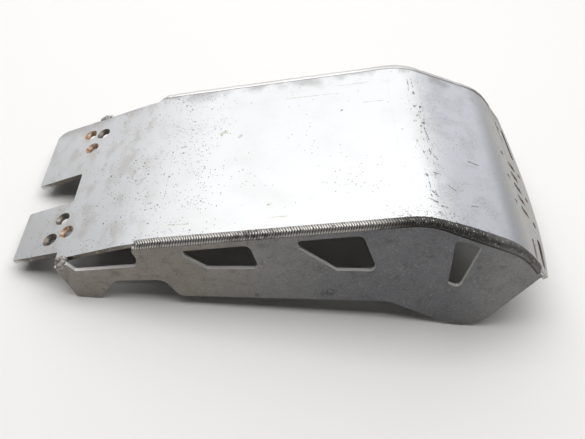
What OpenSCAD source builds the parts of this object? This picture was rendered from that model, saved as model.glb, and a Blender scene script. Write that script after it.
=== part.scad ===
// Motorcycle skid plate: a bent aluminium belly sheet with two welded side plates.
// It lies belly up on its side plates. X runs from the rear tabs to the nose, Z is up,
// and the origin is under the middle of the plate, on the floor.

/* [Sheet] */
// Thickness of the bent belly sheet
belly_t = 5; // [4.5:0.5:6]
// Thickness of the two side plates
side_t = 4; // [3:0.5:5]

/* [Belly profile] */
// Height of the outer face above the floor at the rear edge
rear_z = 18; // [14:1:24]
// Length of the rear panel along its slope
rear_len = 142; // [136:1:150]
// Rise of the rear panel, in degrees
rear_rise = 25.2; // [23:0.1:27]
// Length of the long belly panel
belly_len = 279; // [265:1:300]
// Rise of the long belly panel, in degrees
belly_rise = 12.6; // [11:0.1:14]
// Length of the brow panel between the two nose bends
brow_len = 102.5; // [98:0.5:110]
// Fall of the brow panel, in degrees
brow_fall = 17.3; // [15:0.1:19]
// Length of the nose panel on its middle line
nose_len = 79; // [76:0.5:84]
// Fall of the nose panel, in degrees
nose_fall = 48.1; // [46:0.1:50]
// Outer radius of the bend between the rear panel and the belly
rear_bend_r = 220; // [150:10:260]
// Outer radius of the bend between the belly and the brow
brow_bend_r = 70; // [50:1:80]
// Outer radius of the bend between the brow and the nose panel
nose_bend_r = 68; // [50:1:72]

/* [Belly width] */
// Inner half width between the side plates at the rear edge, at floor level
half_width = 117.5; // [115:0.5:122]
// Angle at which each side plate runs outwards to the nose
toe = 1.9; // [1:0.1:2.5]
// Angle at which each side plate leans outwards to the floor
flare = 2.35; // [1.5:0.05:3]
// How far the front edge bows out past its corners
nose_bow = 30; // [24:1:34]

/* [Rear tabs] */
// Depth of the notch between the tabs
notch_depth = 55; // [45:1:60]
// Width of the notch
notch_w = 45; // [36:1:50]
// Sideways offset of the notch's middle
notch_y = -6.5; // [-10:0.5:0]
// Radius of the notch's inner corners
notch_r = 2.5; // [1:0.5:5]
// Outer edge of the left tab at the rear edge
left_tab_y = 96; // [94:0.5:100]
// How much the left tab widens over its length
left_tab_gain = 6.5; // [4:0.5:8]
// Outer edge of the belly sheet in front of the left tab
left_body_y = 113; // [111:0.5:115]
// Outer edge of the belly sheet behind the right side's weld
right_body_y = 111.5; // [109:0.5:115]
// Chamfer on the right tab's rear corner
right_chamfer = 9; // [4:0.5:12]

/* [Tab holes] */
// Radius of the tab's bolt holes
tab_hole_r = 4.5; // [3.5:0.5:5]
// Radius of the countersink at the outer face
tab_sink_r = 8.3; // [7:0.1:8.5]
// Distance of the left group's rear hole from the rear edge
left_group_u = 39.5; // [36:0.5:44]
// Distance of the left group's rear hole from the middle
left_group_y = 80; // [78:0.5:82]
// Distance of the right group's rear hole from the rear edge
right_group_u = 49; // [44:0.5:52]
// Distance of the right group's rear hole from the middle
right_group_y = 87; // [84:0.5:90]
// Forward step from the rear hole to the front hole
front_hole_u = 18.6; // [17.5:0.1:22]
// Inward step from the rear hole to the front hole
front_hole_y = 5; // [3:0.5:8]
// Forward step from the rear hole to the inner hole
inner_hole_u = 8.2; // [5:0.1:10]
// Inward step from the rear hole to the inner hole
inner_hole_y = 27.4; // [25:0.1:30]

/* [Nose openings] */
// Radius of the nose panel's bolt holes
nose_hole_r = 3.5; // [3:0.25:4.5]
// Distance of the upper hole row from the nose bend's vertex
nose_row_v = 20.4; // [20:0.1:24]
// Distance between the two hole rows
nose_row_gap = 42.3; // [40:0.1:44]
// Distance between neighbouring holes in a row
nose_hole_pitch = 40.5; // [38:0.5:43]
// Sideways offset of the nose pattern's middle
nose_y = -7; // [-10:0.5:0]
// Turn of the nose pattern in the panel, in degrees
nose_turn = 2.3; // [0:0.1:3]
// Width of the long side slots
slot_w = 7; // [5:0.5:8]
// Length of the upper side slots
upper_slot_len = 34; // [28:1:38]
// Length of the lower side slots
lower_slot_len = 48; // [40:1:50]
// Slant of the side slots, in degrees
slot_slant = 12; // [8:0.5:15]
// Number of vents between the hole rows
vent_count = 5; // [3:1:5]
// Length of a vent along the panel
vent_len = 18; // [12:1:20]
// Width of a vent across the panel
vent_w = 9; // [6:0.5:11]
// Distance between neighbouring vents
vent_pitch = 19; // [16:0.5:20]

/* [Side plates] */
// Depth of a side plate's top edge under the belly's outer face
side_drop = 2; // [1.5:0.25:2.5]
// Width of the strip that joins the foot to the rear tab
strip_w = 14; // [11:0.5:18]
// Length of the foot that stands on the floor
foot_len = 23; // [18:1:28]
// Height of the arch in front of the foot
arch_z = 34.5; // [30:0.5:38]
// Height of the lower edge at its middle
sill_z = 13; // [9:0.5:18]
// Height of the lower edge just behind the lobe
sill_front_z = 28.5; // [24:0.5:32]
// Radius of the lobe that stands on the floor
lobe_r = 33; // [28:1:36]

/* [Welds] */
// Distance from one weld ripple to the next
ripple_pitch = 4.2; // [3.6:0.2:6]
// Height of a ripple
ripple_h = 0.5; // [0.2:0.1:0.8]
// Width of the bead on the belly's outer face
bead_lap = 4; // [3:0.25:4.5]
// Height of the bead on the side plate's outer face
bead_leg = 3.5; // [2.5:0.25:4]
// Distance past the nose bend's vertex at which the bead ends
bead_end = 30; // [26:1:32]

/* [Hidden] */
LEFT = -1;
RIGHT = 1;
belly_color = "#C9CBCE";
side_color = "#7E7B77";
weld_color = "#A6A6A4";
// Number of facets on circles
$fn = 96;
// Length by which cutting tools pass a surface
over = 60;
// Half of a cutting tool's width across the plate
reach = 220;
// Running gap that keeps a bead's underside clear of the sheets
weld_gap = 0.01;
// Places of the side outline's corners, from the belly panel's start
arch_rear = -19.5;
arch_front = 29;
sill_rear = 44;
// Place of the sill's front corner, from the brow panel's start
sill_front = -20;
// Place of the lobe's corner, from the nose panel's start, and its depth under the floor
lobe_x = -26.5;
lobe_sink = 8;
// Fall of the arch towards the foot
arch_fall = 6.5;
// Radii of the lower outline's corners
foot_rear_r = 4;
foot_front_r = 6;
arch_r = 12;
sill_r = 10;
sill_front_r = 30;
// Length of the side plate past the bead's end
front_lip = 7;
// Size of the chamfer at the left tab's inner corner
tab_corner_size = 3;
// Depth of the short tab beads under the outer face: the left one stands proud, the right one is flush
left_bead_sink = 0;
right_bead_sink = 2;
// Radius of the short tab beads and their facets
tab_bead_r = 4.5;
tab_bead_facets = 24;
// Centre of the seam bead's round face, from the seam: across it and out of the belly's face
bead_mid = [-0.6, -3.6];
// Steps of the bead's round face
arc_steps = 6;
// How far a ripple's crown trails behind its toes, and how far the bead's ends sink
ripple_lag = 1.4;
end_sink = 1.5;

// Places along the profile
rear_end = [0, rear_z];
belly_start = rear_end + rear_len * [cos(rear_rise), sin(rear_rise)];
brow_start = belly_start + belly_len * [cos(belly_rise), sin(belly_rise)];
nose_start = brow_start + brow_len * [cos(brow_fall), -sin(brow_fall)];
nose_tip = nose_start + nose_len * [cos(nose_fall), -sin(nose_fall)];
mid_x = nose_tip[0] / 2;

// Turn of each bend
rear_turn = rear_rise - belly_rise;
brow_turn = belly_rise + brow_fall;
nose_bend_turn = nose_fall - brow_fall;

// Distance from a bend's vertex to the start of its round
function bend_lead(r, turn) = r * tan(turn / 2);

// Half of the clear width between the side plates at a point of the profile's plane
function inner_half(x, z) = half_width + x * tan(toe) - z * tan(flare) / cos(toe);

// Thickness of a side plate measured across the plate
side_y = side_t / (cos(toe) * cos(flare));

// Point of a panel: its start, its heading in degrees, the distance along and the depth under it
function panel_point(start, heading, along, depth) =
    start + along * [cos(heading), sin(heading)] + depth * [sin(heading), -cos(heading)];

// Points of an arc that rounds the corner b between a and c with radius r
function round_corner(a, b, c, r, steps = 6) =
    let (
        u = (a - b) / norm(a - b),
        v = (c - b) / norm(c - b),
        half = acos(max(-1, min(1, u * v))) / 2,
        lead = r / tan(half),
        centre = b + (u + v) / norm(u + v) * r / sin(half),
        first = b + u * lead - centre,
        last = b + v * lead - centre,
        from = atan2(first[1], first[0]),
        sweep = atan2(first[0] * last[1] - first[1] * last[0], first * last)
    )
    [for (k = [0 : steps]) centre + r * [cos(from + sweep * k / steps), sin(from + sweep * k / steps)]];

// Outline from corners given as [x, z, radius], with a sharp corner where the radius is 0
function rounded(corners) =
    let (n = len(corners))
    [for (i = [0 : n - 1])
        let (
            a = [corners[(i + n - 1) % n][0], corners[(i + n - 1) % n][1]],
            b = [corners[i][0], corners[i][1]],
            c = [corners[(i + 1) % n][0], corners[(i + 1) % n][1]]
        )
        each (corners[i][2] > 0 ? round_corner(a, b, c, corners[i][2]) : [b])];

// Corner in a panel's own frame, turned into [x, z, radius]
function panel_corner(start, heading, corner) =
    concat(panel_point(start, heading, corner[0], corner[1]), [corner[2]]);

// Straight panels' vertices at a depth under the outer face
function vertex(corner, before, after, depth) =
    corner + depth * [sin((before + after) / 2), -cos((before + after) / 2)] / cos((before - after) / 2);

// The bit outside a bend's round, between its two panels
module bend_corner(corner, before, after, r, depth) {
    turn = before - after;
    lead = bend_lead(r, turn);
    start = corner - lead * [cos(before), sin(before)];
    centre = start + r * [sin(before), -cos(before)];
    tip = vertex(corner, before, after, depth);
    from = centre + (r - depth) * [-sin(before), cos(before)];
    to = centre + (r - depth) * [-sin(after), cos(after)];
    difference() {
        polygon([from, tip + [0, 0.01], to, centre + (to - centre) * 0.9, centre + (from - centre) * 0.9]);
        translate(centre) circle(r = r - depth, $fn = 360);
    }
}

// Everything under the profile at a depth below the outer face
module under_profile(depth) {
    first = panel_point(rear_end, rear_rise, -over, depth);
    last = panel_point(nose_start, -nose_fall, nose_len + over, depth);
    difference() {
        polygon([
            first,
            vertex(belly_start, rear_rise, belly_rise, depth),
            vertex(brow_start, belly_rise, -brow_fall, depth),
            vertex(nose_start, -brow_fall, -nose_fall, depth),
            last,
            [last[0], -2 * over],
            [first[0], -2 * over]
        ]);
        bend_corner(belly_start, rear_rise, belly_rise, rear_bend_r, depth);
        bend_corner(brow_start, belly_rise, -brow_fall, brow_bend_r, depth);
        bend_corner(nose_start, -brow_fall, -nose_fall, nose_bend_r, depth);
    }
}

// Children drawn in x and z become a bar across the plate
module across(half = reach) {
    translate([0, half, 0]) rotate([90, 0, 0]) linear_extrude(height = 2 * half) children();
}

// Frame of a panel: x along it, y across the plate, z out of the outer face
module on_panel(start, heading) {
    translate([start[0], 0, start[1]]) rotate([0, -heading, 0]) children();
}

// Cuts a flat drawing through a panel
module through() {
    translate([0, 0, -over / 2]) linear_extrude(height = over) children();
}

// Space outside the inner face of a side plate, thick enough to trim the belly
module outside(side, thick) {
    mirror([0, side == LEFT ? 1 : 0, 0])
        translate([0, half_width, 0]) rotate([flare, 0, toe])
            translate([-over, 0, -over]) cube([mid_x * 2 + 3 * over, thick, 6 * over]);
}

// Countersunk bolt hole, drawn down from a panel's outer face
module sunk_hole(r, rim) {
    depth = rim - r;
    translate([0, 0, -over / 2]) cylinder(h = over, r = r);
    translate([0, 0, -depth]) cylinder(h = depth, r1 = r, r2 = rim);
    cylinder(h = over / 2, r = rim);
}

// Three countersunk holes of one rear tab
module tab_holes(side, u, y) {
    for (step = [[0, 0], [front_hole_u, front_hole_y], [inner_hole_u, inner_hole_y]])
        translate([u + step[0], side * (y - step[1]), 0]) sunk_hole(tab_hole_r, tab_sink_r);
}

// Slot with round ends along y
module slot(length, width) {
    straight = length - width;
    square([width, straight], center = true);
    for (end = [-1, 1]) translate([0, end * straight / 2]) circle(d = width);
}

// Outline of the openings behind the rear panel's bend, with its cuts run out past the rear edge
module rear_cuts() {
    seam_edge = inner_half(belly_start[0], belly_start[1]);
    tab_slope = left_tab_gain / notch_depth;
    polygon([
        [-over, -reach], [-over, -left_tab_y + over * tab_slope],
        [notch_depth, -left_tab_y - left_tab_gain], [notch_depth, -left_body_y],
        [notch_depth + strip_w, -left_body_y], [rear_len, -seam_edge], [rear_len, -reach]
    ]);
    chamfer_slope = 1.25;
    polygon([
        [-over, reach], [-over, right_body_y - right_chamfer - over * chamfer_slope],
        [right_chamfer * 0.6, right_body_y - right_chamfer * 0.25], [right_chamfer * 1.3, right_body_y],
        [rear_len - 6, right_body_y], [rear_len, seam_edge], [rear_len, reach]
    ]);
    polygon(rounded([
        [-over, notch_y - notch_w / 2, 0], [notch_depth, notch_y - notch_w / 2, notch_r],
        [notch_depth, notch_y + notch_w / 2, notch_r], [-over, notch_y + notch_w / 2, 0]
    ]));
}

// Chamfer between the notch and the left tab's inner rear corner
module tab_corner() {
    edge = notch_y - notch_w / 2;
    polygon([[-1, edge + 1], [tab_corner_size, edge + 1], [-1, edge - tab_corner_size]]);
}

// Space in front of the bowed front edge, in the nose panel's frame
module front_cut() {
    half = inner_half(nose_tip[0], nose_tip[1]);
    r = (half * half + nose_bow * nose_bow) / (2 * nose_bow);
    difference() {
        translate([nose_row_v, -reach]) square([4 * over, 2 * reach]);
        translate([nose_len - r, 0]) circle(r = r, $fn = 720);
    }
}

// Bolt holes, side slots and vents of the nose panel, in the panel's frame
module nose_cuts() {
    first_vent = -(vent_count - 1) / 2;
    slot_y = half_width - nose_hole_pitch / 2;
    for (side = [LEFT, RIGHT]) {
        translate([nose_row_v + nose_row_gap * 0.36, nose_y + side * slot_y])
            rotate(side * slot_slant) slot(upper_slot_len, slot_w);
        translate([nose_row_v + nose_row_gap * 0.78, nose_y + side * (slot_y - slot_w)])
            rotate(side * slot_slant) slot(lower_slot_len, slot_w);
    }
    for (k = [0 : vent_count - 1])
        translate([nose_row_v + nose_row_gap / 2, nose_y + (first_vent + k) * vent_pitch])
            rotate(90) slot(vent_len, vent_w);
}

module nose_holes() {
    for (row = [0, 1], k = [-1, 0, 1])
        translate([nose_row_v + row * nose_row_gap, nose_y + k * nose_hole_pitch, -over / 2])
            cylinder(h = over, r = nose_hole_r);
}

// Turn of the nose pattern about the middle of the upper hole row
module turned() {
    translate([nose_row_v, 0, 0]) rotate(-nose_turn) translate([-nose_row_v, 0, 0]) children();
}

module belly_plate() {
    color(belly_color) translate([-mid_x, 0, 0]) difference() {
        across() intersection() {
            difference() {
                under_profile(0);
                under_profile(belly_t);
            }
            polygon([
                panel_point(rear_end, rear_rise, 0, -over),
                panel_point(rear_end, rear_rise, 0, 2 * belly_t),
                panel_point(nose_start, -nose_fall, nose_len + belly_t, 2 * belly_t),
                panel_point(nose_start, -nose_fall, nose_len + belly_t, -over),
                brow_start + [0, over]
            ]);
        }
        for (side = [LEFT, RIGHT]) outside(side, reach);
        on_panel(rear_end, rear_rise) {
            through() rear_cuts();
            through() tab_corner();
            tab_holes(LEFT, left_group_u, left_group_y);
            tab_holes(RIGHT, right_group_u, right_group_y);
        }
        on_panel(nose_start, -nose_fall) turned() {
            through() front_cut();
            through() nose_cuts();
            nose_holes();
        }
    }
}

// Corners of the rear window, open to the belly's edge, in the rear panel's frame
rear_window = [
    [notch_depth + strip_w, -over, 0], [notch_depth + strip_w, side_drop, 0],
    [notch_depth + strip_w + 3.5, 12.5, 4], [rear_len - 10, 26.5, 4], [rear_len - 4, 17, 5],
    [rear_len - 4, 8, 4], [rear_len - 1, 3, 3], [rear_len - 1, -over, 0]
];

// Corners of the two middle windows, in the belly panel's frame
second_window = [[46, 12, 3], [111, 12, 7], [115.5, 44, 5], [65, 38.5, 4], [46, 19, 3]];
third_window = [[156.5, 11.2, 4], [218, 11.2, 8], [228, 59.5, 6], [189, 54.5, 4], [156.5, 21, 4]];

// Corners of the nose window, in the brow panel's frame
nose_window = [[32.5, 11, 4], [60, 10, 4], [68.5, 66, 5], [55.5, 66, 5]];

module panel_window(start, heading, corners) {
    polygon(rounded([for (c = corners) panel_corner(start, heading, c)]));
}

// Lower outline of a side plate, from the rear strip over the foot, arch and sill to the lobe
module side_outline() {
    foot_depth = (rear_z + notch_depth * sin(rear_rise)) / cos(rear_rise);
    foot_x = panel_point(rear_end, rear_rise, notch_depth, foot_depth)[0];
    polygon(rounded([
        concat(panel_point(rear_end, rear_rise, notch_depth, -over), [0]),
        [foot_x, 0, foot_rear_r],
        [foot_x + foot_len, 0, foot_front_r],
        [belly_start[0] + arch_rear, arch_z - arch_fall, arch_r],
        [belly_start[0] + arch_front, arch_z, arch_r],
        [belly_start[0] + sill_rear, sill_z, sill_r],
        [brow_start[0] + sill_front, sill_front_z, sill_front_r],
        [nose_start[0] + lobe_x, -lobe_sink, lobe_r],
        concat(panel_point(nose_start, -nose_fall, bead_end + front_lip, belly_t + 1), [0]),
        concat(panel_point(nose_start, -nose_fall, bead_end, -over), [0]),
        [nose_start[0], nose_start[1] + 2 * over, 0]
    ]));
}

module side_plate(side) {
    color(side_color) translate([-mid_x, 0, 0]) intersection() {
        outside(side, side_t);
        across() difference() {
            intersection() {
                side_outline();
                under_profile(side_drop);
                translate([-over, 0]) square([nose_tip[0] + 2 * over, 5 * over]);
            }
            panel_window(rear_end, rear_rise, rear_window);
            panel_window(belly_start, belly_rise, second_window);
            panel_window(belly_start, belly_rise, third_window);
            panel_window(brow_start, -brow_fall, nose_window);
        }
    }
}

module left_side_plate() {
    side_plate(LEFT);
}

module right_side_plate() {
    side_plate(RIGHT);
}

// Lengths along the outer face, from the middle of the rear bend, at which the seam's shape changes
seam_belly = rear_bend_r * rear_turn / 2 * PI / 180;
seam_bend_1 = seam_belly + belly_len - bend_lead(rear_bend_r, rear_turn) - bend_lead(brow_bend_r, brow_turn);
seam_brow = seam_bend_1 + brow_bend_r * brow_turn * PI / 180;
seam_bend_2 = seam_brow + brow_len - bend_lead(brow_bend_r, brow_turn) - bend_lead(nose_bend_r, nose_bend_turn);
seam_nose = seam_bend_2 + nose_bend_r * nose_bend_turn * PI / 180;
seam_first = 2;
seam_last = seam_nose + bead_end - bend_lead(nose_bend_r, nose_bend_turn);

// Heading of the outer face at a length along it
function seam_heading(s) =
    s < seam_belly ? belly_rise + (seam_belly - s) / rear_bend_r * 180 / PI
    : s < seam_bend_1 ? belly_rise
    : s < seam_brow ? belly_rise - (s - seam_bend_1) / brow_bend_r * 180 / PI
    : s < seam_bend_2 ? -brow_fall
    : s < seam_nose ? -brow_fall - (s - seam_bend_2) / nose_bend_r * 180 / PI
    : -nose_fall;

// Point on a round that starts at a point with a heading
function on_bend(start, heading, r, now) =
    start + r * [sin(heading) - sin(now), cos(now) - cos(heading)];

// Point of the outer face at a length along it
function seam_point(s) =
    s < seam_belly ? on_bend(seam_point(seam_belly), belly_rise, rear_bend_r, seam_heading(s))
    : s < seam_bend_1 ? panel_point(belly_start, belly_rise, s - seam_belly + bend_lead(rear_bend_r, rear_turn), 0)
    : s < seam_brow ? on_bend(seam_point(seam_bend_1 - 0.0001), belly_rise, brow_bend_r, seam_heading(s))
    : s < seam_bend_2 ? panel_point(brow_start, -brow_fall, s - seam_brow + bend_lead(brow_bend_r, brow_turn), 0)
    : s < seam_nose ? on_bend(seam_point(seam_bend_2 - 0.0001), -brow_fall, nose_bend_r, seam_heading(s))
    : panel_point(nose_start, -nose_fall, s - seam_nose + bend_lead(nose_bend_r, nose_bend_turn), 0);

// Toes of the bead on the belly and on the side plate
toe_top = [-bead_lap, weld_gap];
toe_side = [side_y + weld_gap, -side_drop - bead_leg];

// One ring of the bead at a length along the seam, with its swell from 0 to 1
function bead_ring(side, s, swell, lag) =
    let (
        from = atan2(toe_top[1] - bead_mid[1], toe_top[0] - bead_mid[0]),
        to = atan2(toe_side[1] - bead_mid[1], toe_side[0] - bead_mid[0]),
        r0 = norm(toe_top - bead_mid),
        r1 = norm(toe_side - bead_mid),
        round = [for (k = [1 : arc_steps - 1])
            let (f = k / arc_steps, a = from + (to - from) * f, r = r0 + (r1 - r0) * f + ripple_h * swell)
            concat(bead_mid + r * [cos(a), sin(a)], [lag * sin(180 * f)])],
        section = concat(
            [concat(toe_top, [0])], round, [concat(toe_side, [0])],
            [[side_y + weld_gap, weld_gap - side_drop, 0], [weld_gap, weld_gap - side_drop, 0],
                [weld_gap, weld_gap, 0]]
        )
    )
    [for (q = section)
        let (
            at = s + q[2],
            place = seam_point(at) + q[1] * [-sin(seam_heading(at)), cos(seam_heading(at))]
        )
        [place[0], side * (inner_half(place[0], place[1]) + q[0]), place[1]]];

// Rippled bead along a seam: two rings for each ripple, the second one behind its crest
module seam_weld(side) {
    ripples = floor((seam_last - seam_first) / ripple_pitch);
    step = (seam_last - seam_first) / (2 * ripples);
    rings = [for (i = [0 : 2 * ripples])
        let (end = i == 0 || i == 2 * ripples)
        bead_ring(side, seam_first + i * step, end ? -end_sink : i % 2, end ? 0 : ripple_lag)];
    n = len(rings[0]);
    last = (len(rings) - 1) * n;
    walls = [for (i = [0 : len(rings) - 2], j = [0 : n - 1])
        let (a = i * n + j, b = i * n + (j + 1) % n)
        each (side == RIGHT ? [[a, b, b + n], [a, b + n, a + n]] : [[b, a, b + n], [b + n, a, a + n]])];
    near_cap = [for (j = [0 : n - 1]) side == RIGHT ? n - 1 - j : j];
    far_cap = [for (j = [0 : n - 1]) last + (side == RIGHT ? j : n - 1 - j)];
    color(weld_color) translate([-mid_x, 0, 0])
        polyhedron([for (ring = rings) each ring], concat(walls, [near_cap, far_cap]), convexity = 10);
}

module left_seam_weld() {
    seam_weld(LEFT);
}

module right_seam_weld() {
    seam_weld(RIGHT);
}

// Short bead that bridges the belly's edge and the top of the side plate's rear strip
module tab_weld(side, edge, sink) {
    color(weld_color) translate([-mid_x, 0, 0]) difference() {
        on_panel(rear_end, rear_rise) hull() {
            for (u = [notch_depth + tab_bead_r, notch_depth + strip_w - tab_bead_r])
                translate([u, side * (edge + 2), -1.5 - sink]) sphere(r = tab_bead_r, $fn = tab_bead_facets);
            translate([notch_depth + strip_w / 2, side * (half_width + side_t - 1), -4 - sink])
                sphere(r = tab_bead_r, $fn = tab_bead_facets);
        }
        on_panel(rear_end, rear_rise)
            translate([-over, side == LEFT ? -edge - weld_gap : -reach, -over])
                cube([4 * over, reach + edge + weld_gap, over + weld_gap]);
        intersection() {
            outside(side, side_t);
            on_panel(rear_end, rear_rise)
                translate([-over, -reach, -over]) cube([4 * over, 2 * reach, over - side_drop]);
        }
        intersection() {
            outside(side, reach);
            on_panel(rear_end, rear_rise)
                translate([-over, -reach, -over - side_drop - bead_leg]) cube([4 * over, 2 * reach, over]);
        }
    }
}

module left_tab_weld() {
    tab_weld(LEFT, left_body_y, left_bead_sink);
}

module right_tab_weld() {
    tab_weld(RIGHT, right_body_y, right_bead_sink);
}

belly_plate();
left_side_plate();
right_side_plate();
left_seam_weld();
right_seam_weld();
left_tab_weld();
right_tab_weld();
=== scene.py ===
"""Motorcycle skid plate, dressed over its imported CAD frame.

The plate lies belly up on its two side plates: a bent aluminium belly sheet with two rear tabs, a cut side
plate down each edge, a rippled bead along each seam and a lumpy bead behind each rear tab. A size whose name
ends in _mm is in millimetres, and every other length is in metres. Angles in fields are in degrees.
"""
import logging
import math
from dataclasses import dataclass, field
from enum import Enum
from functools import cached_property
from typing import Any, Callable

import bmesh
import bpy
from mathutils import Matrix, Vector, noise


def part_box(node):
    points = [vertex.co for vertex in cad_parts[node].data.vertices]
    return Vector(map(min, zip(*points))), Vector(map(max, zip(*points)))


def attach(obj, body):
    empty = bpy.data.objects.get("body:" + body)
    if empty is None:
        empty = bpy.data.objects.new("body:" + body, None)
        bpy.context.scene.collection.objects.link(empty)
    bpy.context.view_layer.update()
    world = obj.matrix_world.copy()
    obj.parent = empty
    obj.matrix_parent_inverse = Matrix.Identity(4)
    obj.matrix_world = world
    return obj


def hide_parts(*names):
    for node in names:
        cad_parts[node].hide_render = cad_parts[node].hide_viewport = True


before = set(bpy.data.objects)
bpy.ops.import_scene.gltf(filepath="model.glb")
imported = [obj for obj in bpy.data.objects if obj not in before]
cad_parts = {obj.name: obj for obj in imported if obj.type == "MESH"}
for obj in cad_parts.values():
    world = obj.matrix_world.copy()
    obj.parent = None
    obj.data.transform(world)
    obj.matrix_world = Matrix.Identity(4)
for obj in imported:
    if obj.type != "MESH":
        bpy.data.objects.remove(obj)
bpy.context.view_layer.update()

MM = 0.001
MERGE = 2e-6
BODY = "root"
log = logging.getLogger("skid_plate")

Pair = tuple[float, float]
Point = tuple[float, float, float]
Zone = tuple[Pair, Pair]
Socket = bpy.types.NodeSocket


class Side(Enum):
    """Which edge of the belly a piece belongs to, with the sign of its y."""

    LEFT = -1
    RIGHT = 1


class Surface(Enum):
    """Kinds of surface on a cut sheet, in the order of its material slots."""

    OUTER = 0
    INNER = 1
    EDGE = 2
    SEAT = 3


def linear(hex_colour: str) -> tuple[float, float, float, float]:
    """Turn an sRGB hex colour into linear values.

    Args:
        hex_colour: Six hex digits after a hash sign.

    Returns:
        Red, green, blue and an alpha of 1.
    """
    values = [int(hex_colour[i:i + 2], 16) / 255 for i in (1, 3, 5)]
    red, green, blue = (v / 12.92 if v <= 0.04045 else ((v + 0.055) / 1.055) ** 2.4 for v in values)
    return (red, green, blue, 1.0)


def add_node(tree: bpy.types.NodeTree, kind: str, inputs: dict | None = None,
             **settings: Any) -> bpy.types.Node:
    """Add a node, set it up and link it.

    Args:
        tree: Tree that receives the node.
        kind: Blender's name of the node type.
        inputs: Value or output socket for each input, by the input's name or number.
        **settings: Attributes of the node itself.

    Returns:
        The new node.
    """
    node = tree.nodes.new(kind)
    for name, value in settings.items():
        setattr(node, name, value)
    for socket, value in (inputs or {}).items():
        if isinstance(value, Socket):
            tree.links.new(value, node.inputs[socket])
        else:
            node.inputs[socket].default_value = value
    return node


def place_in_scene(name: str, mesh: bpy.types.Mesh) -> bpy.types.Object:
    """Link a mesh to the scene as an object at the origin.

    Args:
        name: Name of the piece.
        mesh: Its mesh, already in the row frame.

    Returns:
        The new object.
    """
    piece = bpy.data.objects.new(name, mesh)
    bpy.context.scene.collection.objects.link(piece)
    return piece


def apply_modifiers(piece: bpy.types.Object) -> None:
    """Replace a piece's mesh by the result of its modifiers, and remove them.

    Args:
        piece: The piece, which keeps its name and place.
    """
    evaluated = piece.evaluated_get(bpy.context.evaluated_depsgraph_get())
    mesh = bpy.data.meshes.new_from_object(evaluated)
    piece.modifiers.clear()
    piece.data = mesh


def socket_id(tree: bpy.types.NodeTree, name: str) -> str:
    """Return the identifier of a node group's input, from its name."""
    return next(item.identifier for item in tree.interface.items_tree
                if item.in_out == "INPUT" and item.name == name)


def cad_shape(node: str) -> bmesh.types.BMesh:
    """Copy a CAD node's mesh and merge its doubled vertices.

    Args:
        node: The CAD node's name.

    Returns:
        The copy, which the caller frees.
    """
    shape = bmesh.new()
    shape.from_mesh(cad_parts[node].data)
    bmesh.ops.remove_doubles(shape, verts=shape.verts, dist=MERGE)
    return shape


def mesh_of(shape: bmesh.types.BMesh, name: str) -> bpy.types.Mesh:
    """Turn a shape into a mesh, and free the shape.

    Args:
        shape: The shape.
        name: The mesh's name.

    Returns:
        The new mesh.
    """
    mesh = bpy.data.meshes.new(name)
    shape.to_mesh(mesh)
    shape.free()
    return mesh


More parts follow.
